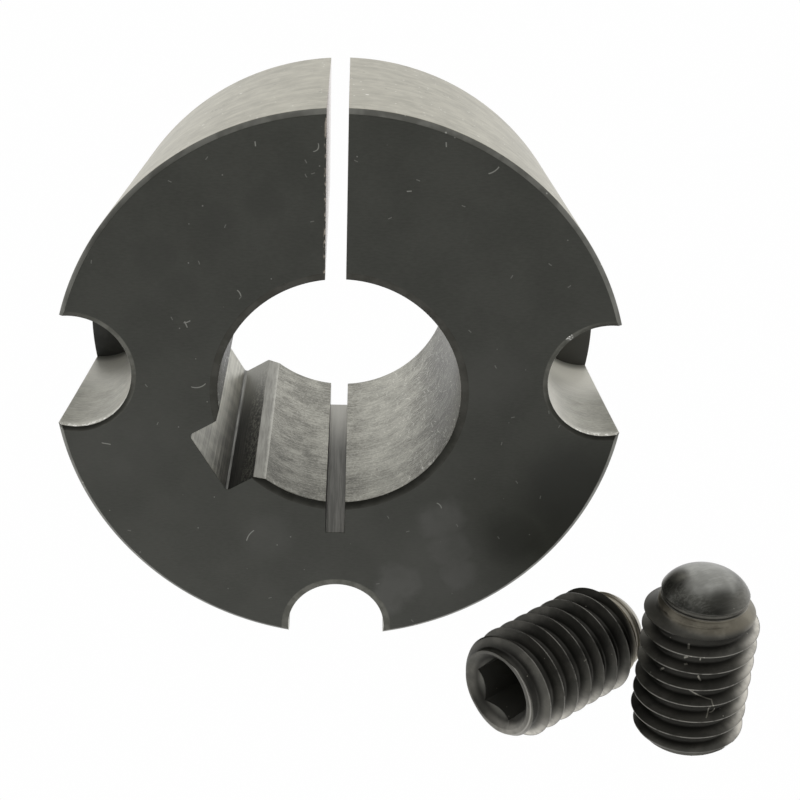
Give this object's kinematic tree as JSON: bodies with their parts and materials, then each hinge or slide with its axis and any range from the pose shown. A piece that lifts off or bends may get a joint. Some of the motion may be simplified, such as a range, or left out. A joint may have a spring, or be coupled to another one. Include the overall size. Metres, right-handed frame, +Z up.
{
  "type": "taper lock bushing",
  "caption": "Split tapered shaft bush with a keyed bore and half-round screw notches in its large end, standing beside its domed-point set screws.",
  "frame": {"origin": "bottom centre of the box round the bush and its screws, on the surface they rest on", "axes": "+Z up; +X from the bush towards the upright screw; -Y out of the bush's large-end face, which leans back 2.5 degrees"},
  "size_m": [0.0574, 0.0444, 0.0471],
  "materials": {
    "bushing": "dark phosphated end face, paler machined taper and bore",
    "set_screws": "black oxide with worn thread crests"
  },
  "bodies": {
    "root": {"bushing_body": "bushing", "set_screw_upright": "set_screws", "set_screw_lying": "set_screws"}
  },
  "joints": []
}
